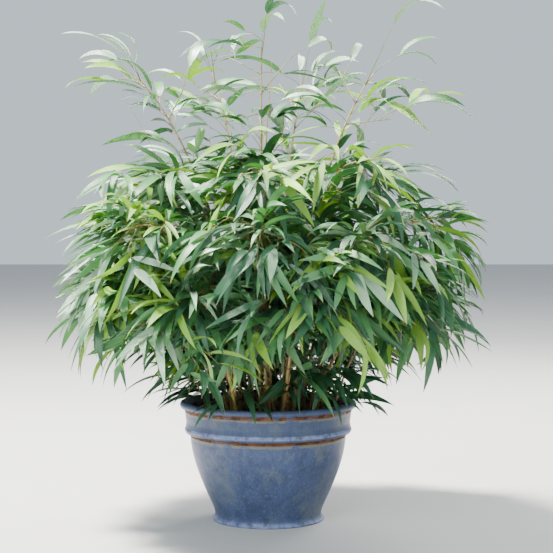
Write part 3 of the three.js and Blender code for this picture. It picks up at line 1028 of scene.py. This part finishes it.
# Sprays along the canes: on which stretch, how steeply they rise and how far they stray from outwards
INNER_ZONE = dict(stretch=(0.32, 0.98), rise=(-0.2, 0.7), stray=0.9)
LOW_ZONE = dict(stretch=(0.06, 0.42), rise=(-0.9, 0.2), stray=1.3)
TALL_ZONE = dict(stretch=(0.46, 0.90), rise=(0.0, 0.8), stray=1.6)
TIP_ZONE = dict(stretch=(0.97, 1.0), rise=(1.5, 3.0), stray=1.6)
TIP_SPRAYS = 2
ZONE_REACH = (130, 190)
TALL_LEAVES = (1, 2)
TALL_WIDTH = 1.15

# Low sprays are few in front of the bare stems, which stand this far to both sides of the middle
STEMS_BARE = 130 * MM
LOW_LEAST = 0.1

# The shares of sites without a spray: at the dome's top, and on a tall cane low down and below its tip
DOME_TOP_BARE = 0.72
DOME_THIN_FROM = 560 * MM
DOME_THIN_OVER = 260 * MM
TALL_LOW_BARE = 0.2
TALL_NECK_BARE = 0.75
TALL_NECK_FROM = 960 * MM
TALL_TIP_FROM = 1080 * MM

# Leaves by kind: the colour of the light through them, its share, and how rough they are
LEAF_KINDS = {
    "deep": ((92, 150, 50), 0.28, 0.34),
    "middle": ((124, 184, 50), 0.32, 0.32),
    "fresh": ((178, 210, 56), 0.42, 0.36),
    "pale": ((156, 190, 96), 0.28, 0.26),
}

# The light at a site, by its height, its distance from the axis and its side, and the least for a kind,
# which deals out the leaves' painted shade, sunlight and sheen
LIGHT = dict(height=0.5, outside=0.35, sunny=0.28, stray=0.45)
CROWN_FOOT = 300 * MM
CROWN_DEPTH = 700 * MM
CROWN_HALF = 450 * MM
LEAST_LIGHT = (("pale", 0.83), ("fresh", 0.66), ("middle", 0.35))


def may_hang(place, bound):
    """Whether a leaf's point is clear of the pot, in the plant's reach and in the dome, as far as bound."""
    inside = all(low - BOX_ROOM < p < high + BOX_ROOM for p, low, high in zip(place, CAD_LOW, CAD_HIGH))
    out = math.hypot(place.x, place.y)
    clear = place.z > POT_HEIGHT + POT_CLEAR or out > RIM_RADIUS + POT_CLEAR
    above = place.z - DOME_WIDEST
    off_widest = above / (DOME_RISE if above > 0 else DOME_FALL)
    domed = (out / DOME_RADIUS) ** 2 + off_widest**2 < bound
    return inside and clear and domed and place.z > LEAST_HEIGHT


def leaf_fits(foot, direction, length, droop, bound):
    """Whether a drooping leaf may hang, at three points along it."""
    for share in (0.35, 0.7, 1.0):
        place = foot + direction * (length * share)
        place.z -= length * share**2 * math.sin(droop) * 0.4
        if not may_hang(place, bound):
            return False
    return True


def spray_plane(direction, turn):
    """The side to which a spray spreads its leaves, and the way up from it."""
    level = Vector((-direction.y, direction.x, 0))
    if level.length < 0.2:
        level = Vector((1, 0, 0))
    level.normalize()
    upward = level.cross(direction).normalized()
    if upward.z < 0:
        upward.negate()
    return level * math.cos(turn) + upward * math.sin(turn), upward


def grow_spray(site, count, tall, full_width, random, leaves, twigs):
    """A branchlet from a site, with leaves at both sides of its end in turn."""
    foot, direction, reach = site
    rise = random.uniform(*SPRAY["tall_rise" if tall else "rise"])
    direction = (direction + Vector((0, 0, rise))).normalized()
    leader = reach * random.uniform(*SPRAY["leader"])
    blade = reach * random.uniform(*SPRAY["blade"])
    end = foot + direction * leader - Vector((0, 0, 0.12 * leader))
    middle = foot + direction * (leader * 0.55) + Vector((0, 0, 0.08 * leader))
    line = np.vstack([np.array(foot), bezier_points([foot, middle, end], 4)])
    side, upward = spray_plane(direction, random.uniform(*SPRAY["turn"]))
    bound = math.inf if tall else random.uniform(*SPRAY["bound"])
    added = 0
    for k in range(count):
        share = max(0.0, 1 - random.uniform(*SPRAY["gap"]) * k)
        at = Vector(along_line(line, [share * leader])[0][0])
        spread = (0.08 if k == 0 else 0.35) + 0.13 * k + random.uniform(*LEAF["stray"])
        sign = 1 if k % 2 else -1
        course = direction * math.cos(spread) + side * (sign * math.sin(spread))
        course.z += random.uniform(*LEAF["rise"])
        course.normalize()
        length = blade * random.uniform(*LEAF["length"])
        width = full_width * random.uniform(*LEAF["width"]) * min(1.0, length / FULL_WIDTH_FROM)
        droop = random.uniform(*LEAF["droop"]) + max(0.0, 0.7 * course.z + 0.2)
        if not leaf_fits(at, course, length, droop, bound):
            length *= 0.7
        if not leaf_fits(at, course, length, droop, bound):
            continue
        facing = upward + Vector(random.uniform(*LEAF["facing"], 3))
        twist, curl, fold = (random.uniform(*LEAF[bend]) for bend in ("twist", "curl", "fold"))
        leaves.add(at, course, length, width, droop, twist, curl, fold, facing, random.uniform(0, 1))
        added += 1
    if added:
        twigs.add(line, np.linspace(0.75, 0.5, len(line)) * MM, 4)


def sites_along(path, count, zone, random):
    """Sites along a stretch of a cane, which fill the plant between its masses."""
    sites = []
    for _ in range(count):
        foot = path.at(random.uniform(*zone["stretch"]))
        outwards = math.atan2(foot.y, foot.x) + random.normal(0, zone["stray"])
        direction = polar(1, outwards, random.uniform(*zone["rise"])).normalized()
        sites.append((foot, direction, random.uniform(*ZONE_REACH) * MM))
    return sites


def low_count(heart, full):
    """How many low sprays a cane has: all at the back and the sides, few in front of the bare stems."""
    if heart.y > 0:
        return full
    aside = abs(heart.x) / STEMS_BARE - 1
    return round(full * min(1.0, max(LOW_LEAST, aside)))


def bareness(height, tall):
    """The share of sites without a spray, which grows to the dome's top and ends at a tall cane's tip."""
    if not tall:
        return DOME_TOP_BARE * min(1.0, max(0.0, (height - DOME_THIN_FROM) / DOME_THIN_OVER))
    if height > TALL_TIP_FROM:
        return 0.0
    return TALL_NECK_BARE if height > TALL_NECK_FROM else TALL_LOW_BARE


def leaf_kind(site, random):
    """Deals a kind of leaf by the light at a site, with painted light in its colour: the deep colour, for
    old leaves and as painted shade, inside and low; the fresh colour, for young leaves and as painted
    sunlight, and the pale one, as a painted sheen, outside, high and on the sunny side.
    """
    foot = site[0]
    height = (foot.z - CROWN_FOOT) / CROWN_DEPTH
    outside = math.hypot(foot.x, foot.y) / CROWN_HALF
    # Painted sunlight: leaves on the sun's side, towards -X, are dealt the paler kinds
    sunny = max(0.0, -foot.x / CROWN_HALF)
    stray = random.uniform(-LIGHT["stray"], LIGHT["stray"])
    light = LIGHT["height"] * height + LIGHT["outside"] * outside + LIGHT["sunny"] * sunny + stray
    for kind, least in LEAST_LIGHT:
        if light > least:
            return kind
    return "deep"


def grow_branch(path, seed, settings, leaves, twigs):
    """What the scene grows on from one cane in place of its mass, and along the cane."""
    random = np.random.default_rng(seed)
    twig_rows, sites = grow_mass(path, seed)
    for twig in twig_rows:
        line = np.vstack([np.array(twig[0]), bezier_points(twig, 6)])
        twigs.add(line, np.linspace(1.3, 0.8, len(line)) * MM, 5)
    tall = path.habit is SPIRE
    least, most = TALL_LEAVES if tall else (settings.least_leaves, settings.most_leaves)
    width = settings.width * (TALL_WIDTH if tall else 1.0)
    if tall:
        sites += sites_along(path, settings.tall, TALL_ZONE, random)
        sites += sites_along(path, TIP_SPRAYS, TIP_ZONE, random)
    else:
        sites += sites_along(path, settings.inner, INNER_ZONE, random)
        sites += sites_along(path, low_count(path.heart, settings.low), LOW_ZONE, random)
    for site in sites:
        if random.uniform(0, 1) < bareness(site[0].z, tall):
            continue
        count = int(random.integers(least, most + 1))
        kind = leaf_kind(site, random)
        grow_spray(site, count, tall, width, random, leaves[kind], twigs)


# What every operator works from
def dress(piece, nodes=()):
    """Puts a finished piece on the one body, in place of the solids that it stands for."""
    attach(piece, ROOT)
    if nodes:
        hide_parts(*nodes)
    return piece


def nodes_named(start):
    """The frame's solids whose names start so."""
    return sorted(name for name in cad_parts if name.startswith(start))


def all_paths():
    """The paths of all canes, with where each enters its mass's space."""
    paths = grow_paths()
    find_entries(paths)
    return paths


class BAMBOO_OT_pot(bpy.types.Operator):
    """Makes the glazed pot"""

    bl_idname = "bamboo.pot"
    bl_label = "Pot"

    def execute(self, context):
        settings = context.scene.bamboo_pot
        points, faces = turned(pot_outline(), settings.sides, settings.wobble)
        pot = add_mesh("glazed_pot", points, faces, glaze_material(settings.glaze))
        dress(pot, ["pot"])
        return {"FINISHED"}


class BAMBOO_OT_soil(bpy.types.Operator):
    """Makes the soil and the crumbs on it"""

    bl_idname = "bamboo.soil"
    bl_label = "Soil"

    def execute(self, context):
        settings = context.scene.bamboo_soil
        points, faces = turned(soil_outline(), 96)
        roughen(points, settings.relief)
        soil = add_mesh("potting_soil", points, faces, soil_material(settings.colour))
        dress(soil, ["soil"])
        crumbs = scatter_crumbs(settings)
        dress(crumbs)
        return {"FINISHED"}


# The soil's lumps fade out short of its edge, and the crumbs lie on a disc just below its top
RELIEF_RADIUS = 172 * MM
RELIEF_FADE = 20 * MM
DISC_RADIUS = 166 * MM
DISC_HOLE = 2 * MM
DISC_SUNK = 0.6 * MM
DISC_SIDES = 48
DISC_RINGS = 8


def roughen(points, relief):
    """Raises and lowers the points of the soil's top by a noise."""
    top = points[:, 2] > SOIL_LEVEL - SOIL_FALL - 0.1 * MM
    for index in np.flatnonzero(top):
        place = Vector(points[index])
        lumps = noise.noise(place * 38) + 0.5 * noise.noise(place * 110)
        inward = min(1.0, (RELIEF_RADIUS - math.hypot(place.x, place.y)) / RELIEF_FADE)
        points[index, 2] += relief * (lumps * 0.5 - 0.2) * max(0.0, inward)


def soil_disc():
    """Points and faces of the flat disc that the crumbs lie on, with a small hole at its middle."""
    turns = np.linspace(0, 2 * math.pi, DISC_SIDES, endpoint=False)
    radii = np.linspace(DISC_RADIUS, DISC_HOLE, DISC_RINGS)
    height = SOIL_LEVEL - DISC_SUNK
    points = [(radius * math.cos(t), radius * math.sin(t), height) for radius in radii for t in turns]
    return points, ring_faces(0, DISC_RINGS, DISC_SIDES)


def scatter_crumbs(settings):
    """Crumbs of soil, scattered over a disc by Geometry Nodes and made a plain mesh."""
    inputs = {
        "Density": ("NodeSocketFloat", settings.crumbs),
        "Least": ("NodeSocketFloat", settings.crumb_size * 0.35),
        "Most": ("NodeSocketFloat", settings.crumb_size),
        "Finish": ("NodeSocketMaterial", crumb_material(settings.colour)),
    }
    tree, sockets = crumb_tree(inputs)
    disc = add_mesh("crumb_disc", *soil_disc(), soil_material(settings.colour))
    modifier = disc.modifiers.new("scatter", "NODES")
    modifier.node_group = tree
    for name, (_, value) in inputs.items():
        modifier[sockets[name].identifier] = value
    return made_plain(disc, "soil_crumbs")


def crumb_tree(inputs):
    """The Geometry Nodes that scatter crumbs over a mesh, and the sockets of their named inputs."""
    tree = bpy.data.node_groups.new("scatter_crumbs", "GeometryNodeTree")
    tree.is_modifier = True
    interface = tree.interface
    interface.new_socket("Geometry", in_out="INPUT", socket_type="NodeSocketGeometry")
    sockets = {}
    for name, (kind, _) in inputs.items():
        sockets[name] = interface.new_socket(name, in_out="INPUT", socket_type=kind)
    interface.new_socket("Geometry", in_out="OUTPUT", socket_type="NodeSocketGeometry")

    def node(kind, links=(), **settings_of):
        made = tree.nodes.new(kind)
        for key, value in settings_of.items():
            setattr(made, key, value)
        for key, source in links:
            if isinstance(source, bpy.types.NodeSocket):
                tree.links.new(source, made.inputs[key])
            else:
                made.inputs[key].default_value = source
        return made

    given = node("NodeGroupInput")
    spots = node(
        "GeometryNodeDistributePointsOnFaces",
        [("Mesh", given.outputs["Geometry"]), ("Density", given.outputs["Density"]), ("Seed", 7)],
    )
    crumb = node("GeometryNodeMeshIcoSphere", [("Radius", 1.0), ("Subdivisions", 1)])
    size = node(
        "FunctionNodeRandomValue",
        [(2, given.outputs["Least"]), (3, given.outputs["Most"]), ("Seed", 11)],
        data_type="FLOAT",
    )
    squash = node(
        "FunctionNodeRandomValue",
        [(0, (0.6, 0.6, 0.45)), (1, (1.2, 1.0, 0.8)), ("Seed", 13)],
        data_type="FLOAT_VECTOR",
    )
    scale = node(
        "ShaderNodeVectorMath", [(0, squash.outputs[0]), ("Scale", size.outputs[1])], operation="SCALE"
    )
    turn = node(
        "FunctionNodeRandomValue",
        [(0, (0.0, 0.0, 0.0)), (1, (6.28, 6.28, 6.28)), ("Seed", 17)],
        data_type="FLOAT_VECTOR",
    )
    placed = node(
        "GeometryNodeInstanceOnPoints",
        [
            ("Points", spots.outputs["Points"]),
            ("Instance", crumb.outputs["Mesh"]),
            ("Rotation", turn.outputs[0]),
            ("Scale", scale.outputs[0]),
        ],
    )
    real = node("GeometryNodeRealizeInstances", [("Geometry", placed.outputs["Instances"])])
    finished = node(
        "GeometryNodeSetMaterial",
        [("Geometry", real.outputs["Geometry"]), ("Material", given.outputs["Finish"])],
    )
    node("NodeGroupOutput", [("Geometry", finished.outputs["Geometry"])])
    return tree, sockets


def made_plain(source, name):
    """The object's evaluated mesh as a plain piece. The source object is removed."""
    evaluated = source.evaluated_get(bpy.context.evaluated_depsgraph_get())
    mesh = bpy.data.meshes.new_from_object(evaluated)
    mesh.name = name
    piece = bpy.data.objects.new(name, mesh)
    bpy.context.scene.collection.objects.link(piece)
    bpy.data.objects.remove(source)
    if not len(mesh.polygons):
        raise RuntimeError(f"{name} came out empty")
    return piece


class BAMBOO_OT_canes(bpy.types.Operator):
    """Makes the canes with their nodes, and the dry sheaths on them"""

    bl_idname = "bamboo.canes"
    bl_label = "Canes"

    def execute(self, context):
        settings = context.scene.bamboo_canes
        random = np.random.default_rng(PLANT_SEED)
        canes, sheaths = Tubes(), Sheaths()
        for path in all_paths():
            fine = np.array([path.at(t) for t in np.linspace(0, 1, FINE_STEPS)])
            grow_cane(canes, sheaths, fine, CANE_FOOT_RADIUS, settings, random)
            outer = path.habit["foot"] > INNER_FOOT
            for _ in range(settings.companions if outer else settings.companions // 2):
                line = companion_line(fine, random)
                radius = random.uniform(*COMPANION["radius"]) * MM
                grow_cane(canes, sheaths, line, radius, settings, random)
        dress(canes.piece("canes", cane_material(settings.colour)), nodes_named("cane_"))
        dress(sheaths.piece("sheaths", sheath_material()))
        return {"FINISHED"}


# Canes, with their feet sunk into the soil. Those of the inner rings have fewer thin companions
FINE_STEPS = 90
CANE_SUNK = 2 * MM
INNER_FOOT = 90
FEET_RADIUS = 155 * MM
COMPANION = dict(apart=(9, 55), drift=(-70, 70), bow=(-34, 34), length=(0.72, 0.98), radius=(1.3, 2.7))
SHEATH = dict(chance=0.4, highest=0.5, stretch=30 * MM, length=(34, 62))


def companion_line(fine, random):
    """A line that starts beside a main cane's, drifts and bows away from it, and ends short of it."""
    turn = random.uniform(0, 2 * math.pi)
    apart = random.uniform(*COMPANION["apart"]) * MM
    offset = np.array([apart * math.cos(turn), apart * math.sin(turn), 0])
    foot = fine[0] + offset
    out = math.hypot(foot[0], foot[1])
    if out > FEET_RADIUS:
        offset[:2] -= foot[:2] * (1 - FEET_RADIUS / out)
    share = np.linspace(0, 1, len(fine))[:, None]
    drift = np.append(random.uniform(*COMPANION["drift"], 2), 0) * MM
    bow = np.sin(share * math.pi) * random.uniform(*COMPANION["bow"], 3) * MM
    end = int(random.uniform(*COMPANION["length"]) * len(fine))
    return (fine + offset * (1 - share) ** 0.8 + drift * share + bow)[:end]


def grow_cane(canes, sheaths, fine, radius, settings, random):
    """A cane along a finely stepped line, thinner towards its tip, with sheaths at some of its nodes."""
    length = along_line(fine, [0.0])[1]
    distances, marks, nodes = cane_samples(length, settings.node_gap, random)
    line = along_line(fine, distances)[0]
    line[0, 2] -= CANE_SUNK
    taper = radius * (1 - 0.72 * (distances / length) ** 1.6)
    ripe = random.uniform(0, 1.0) ** 1.5
    tones = np.clip(ripe + 0.5 * distances / length + 0.1 * np.sin(distances * 70), 0, 1)
    canes.add(line, taper * (1 + 0.26 * marks), 8, tones=tones, rings=marks)
    for node in nodes:
        if node / length < SHEATH["highest"] and random.uniform(0, 1) < SHEATH["chance"]:
            width = float(np.interp(node, distances, taper))
            start, end = along_line(fine, [node, node + SHEATH["stretch"]])[0]
            reach = random.uniform(*SHEATH["length"]) * MM
            sheaths.add(start, end - start, width, reach, random.uniform(0, 6.28), random)


class Sheaths:
    """Dry sheaths of one piece: each a thin curved sheet round a cane, pointed and peeling at its top."""

    ACROSS = np.linspace(-1, 1, 7)
    UP = np.linspace(0, 1, 8)

    def __init__(self):
        self.points = []
        self.faces = []
        self.count = 0

    def add(self, foot, course, radius, length, turn, random):
        course = course / np.linalg.norm(course)
        side = np.cross(course, (math.cos(turn), math.sin(turn), 0.1))
        side /= np.linalg.norm(side)
        front = np.cross(side, course)
        peel = random.uniform(0.2, 1.3)
        wide = 2.0 * (1 - self.UP**1.1) + 0.06
        close = radius * 1.15
        stand = radius * (1.16 + 0.2 * self.UP) + length * 0.12 * peel * self.UP**2.4
        outer, inner = [], []
        for u, half, reach in zip(self.UP, wide, stand):
            angles = self.ACROSS * half
            spokes = np.cos(angles)[:, None] * front + np.sin(angles)[:, None] * side
            row_reach = close + (reach - close) * (1 - 0.4 * self.ACROSS**2)
            edge = (np.abs(self.ACROSS) < 0.99) * (0.02 < u < 0.98) * 0.3 * MM
            middle = foot + course * (length * u)
            outer.append(middle + spokes * (row_reach + edge)[:, None])
            inner.append(middle + spokes * (row_reach - edge)[:, None])
        self.join(np.array(outer), np.array(inner))

    def join(self, outer, inner):
        """Both sides of a sheet as one closed skin, which meet along its border."""
        rows, across = outer.shape[:2]
        names = {}
        for layer, sheet in enumerate((outer, inner)):
            for i in range(rows):
                for j in range(across):
                    border = i in (0, rows - 1) or j in (0, across - 1)
                    if border and layer:
                        names[layer, i, j] = names[0, i, j]
                        continue
                    names[layer, i, j] = self.count
                    self.points.append(sheet[i, j])
                    self.count += 1
        for i in range(rows - 1):
            for j in range(across - 1):
                square = ((i, j), (i, j + 1), (i + 1, j + 1), (i + 1, j))
                self.faces.append(tuple(names[0, a, b] for a, b in square))
                self.faces.append(tuple(names[1, a, b] for a, b in reversed(square)))

    def piece(self, name, material):
        return add_mesh(name, self.points, self.faces, material)


class BAMBOO_OT_foliage(bpy.types.Operator):
    """Grows the twigs and the leaves in place of the source's masses"""

    bl_idname = "bamboo.foliage"
    bl_label = "Foliage"

    def execute(self, context):
        settings = context.scene.bamboo_leaves
        leaves = {kind: Leaves() for kind in LEAF_KINDS}
        twigs = Tubes()
        for index, path in enumerate(all_paths()):
            grow_branch(path, PLANT_SEED + 1 + index, settings, leaves, twigs)
        nodes = nodes_named("leaves_")
        for kind, (glow, through, rough) in LEAF_KINDS.items():
            colour = getattr(settings, kind)
            material = leaf_material(f"leaf_{kind}", colour, linear(*glow), through, rough)
            piece = leaves[kind].piece(f"leaves_{kind}", material)
            dress(piece, nodes if kind == "middle" else ())
        dress(twigs.piece("twigs", twig_material()))
        return {"FINISHED"}


# The stage: where the camera stands and how far it looks down, the sky and the lights
CAMERA_SIDE = 19 * MM
CAMERA_HEIGHT = 728 * MM
CAMERA_TILT = 2.8
SENSOR_WIDTH = 36
FLOOR_HALF = 14.0
SKY = (0.76, 0.87, 0.96, 1.0)
SKY_STRENGTH = 0.9
LIGHTS = (
    dict(name="sun", place=(-1.6, 0.5, 4.6), aim=0.6, size=1.0, watts=1750, colour=(1.0, 0.97, 0.90)),
    dict(name="front", place=(-1.2, -3.4, 2.6), aim=0.6, size=2.4, watts=165, colour=(0.94, 0.98, 1.0)),
    dict(name="back", place=(1.6, 2.6, 2.6), aim=0.7, size=1.8, watts=200, colour=(1.0, 0.97, 0.90)),
)


class BAMBOO_OT_stage(bpy.types.Operator):
    """Makes the camera, the floor and the lights"""

    bl_idname = "bamboo.stage"
    bl_label = "Stage"

    def execute(self, context):
        settings = context.scene.bamboo_stage
        scene = context.scene
        data = bpy.data.cameras.new("camera")
        data.lens = settings.lens
        data.sensor_width = SENSOR_WIDTH
        data.clip_end = 60
        camera = bpy.data.objects.new("camera", data)
        camera.location = (CAMERA_SIDE, -settings.distance, CAMERA_HEIGHT)
        camera.rotation_euler = (math.radians(90 - CAMERA_TILT), 0, 0)
        scene.collection.objects.link(camera)
        scene.camera = camera
        corners = ((-1, -1, 0), (1, -1, 0), (1, 1, 0), (-1, 1, 0))
        points = FLOOR_HALF * np.array(corners)
        floor = add_mesh("floor", points, [(0, 1, 2, 3)], floor_material(settings.floor))
        for light in LIGHTS:
            add_light(**light)
        world = bpy.data.worlds.new("soft_sky")
        world.use_nodes = True
        background = world.node_tree.nodes["Background"]
        background.inputs["Color"].default_value = SKY
        background.inputs["Strength"].default_value = SKY_STRENGTH
        scene.world = world
        return {"FINISHED"}


def add_light(name, place, aim, size, watts, colour):
    """A round soft light, turned to a height on the pot's axis."""
    data = bpy.data.lights.new(name, "AREA")
    data.color = colour
    data.shape = "DISK"
    data.size = size
    data.energy = watts
    light = bpy.data.objects.new(name, data)
    light.location = place
    light.rotation_euler = (Vector((0, 0, aim)) - Vector(place)).to_track_quat("-Z", "Y").to_euler()
    bpy.context.scene.collection.objects.link(light)


class BAMBOO_PT_panel(bpy.types.Panel):
    """Lists the operators that dress the potted bamboo"""

    bl_idname = "BAMBOO_PT_panel"
    bl_label = "Potted Bamboo"
    bl_space_type = "VIEW_3D"
    bl_region_type = "UI"
    bl_category = "Potted Bamboo"

    def draw(self, context):
        for operator, group in OPERATORS:
            box = self.layout.box()
            box.operator(operator.bl_idname)
            settings = getattr(context.scene, group)
            for name in settings.__annotations__:
                box.prop(settings, name)


GROUPS = {
    "bamboo_pot": PottedBambooPot,
    "bamboo_soil": PottedBambooSoil,
    "bamboo_canes": PottedBambooCanes,
    "bamboo_leaves": PottedBambooLeaves,
    "bamboo_stage": PottedBambooStage,
}
OPERATORS = (
    (BAMBOO_OT_stage, "bamboo_stage"),
    (BAMBOO_OT_pot, "bamboo_pot"),
    (BAMBOO_OT_soil, "bamboo_soil"),
    (BAMBOO_OT_canes, "bamboo_canes"),
    (BAMBOO_OT_foliage, "bamboo_leaves"),
)


def register():
    for name, group in GROUPS.items():
        bpy.utils.register_class(group)
        setattr(bpy.types.Scene, name, bpy.props.PointerProperty(type=group))
    for operator, _ in OPERATORS:
        bpy.utils.register_class(operator)
    bpy.utils.register_class(BAMBOO_PT_panel)


def unregister():
    bpy.utils.unregister_class(BAMBOO_PT_panel)
    for operator, _ in OPERATORS:
        bpy.utils.unregister_class(operator)
    for name, group in GROUPS.items():
        delattr(bpy.types.Scene, name)
        bpy.utils.unregister_class(group)


def main():
    register()
    bpy.ops.bamboo.stage()
    bpy.ops.bamboo.pot()
    bpy.ops.bamboo.soil()
    bpy.ops.bamboo.canes()
    bpy.ops.bamboo.foliage()


if __name__ == "__main__":
    main()
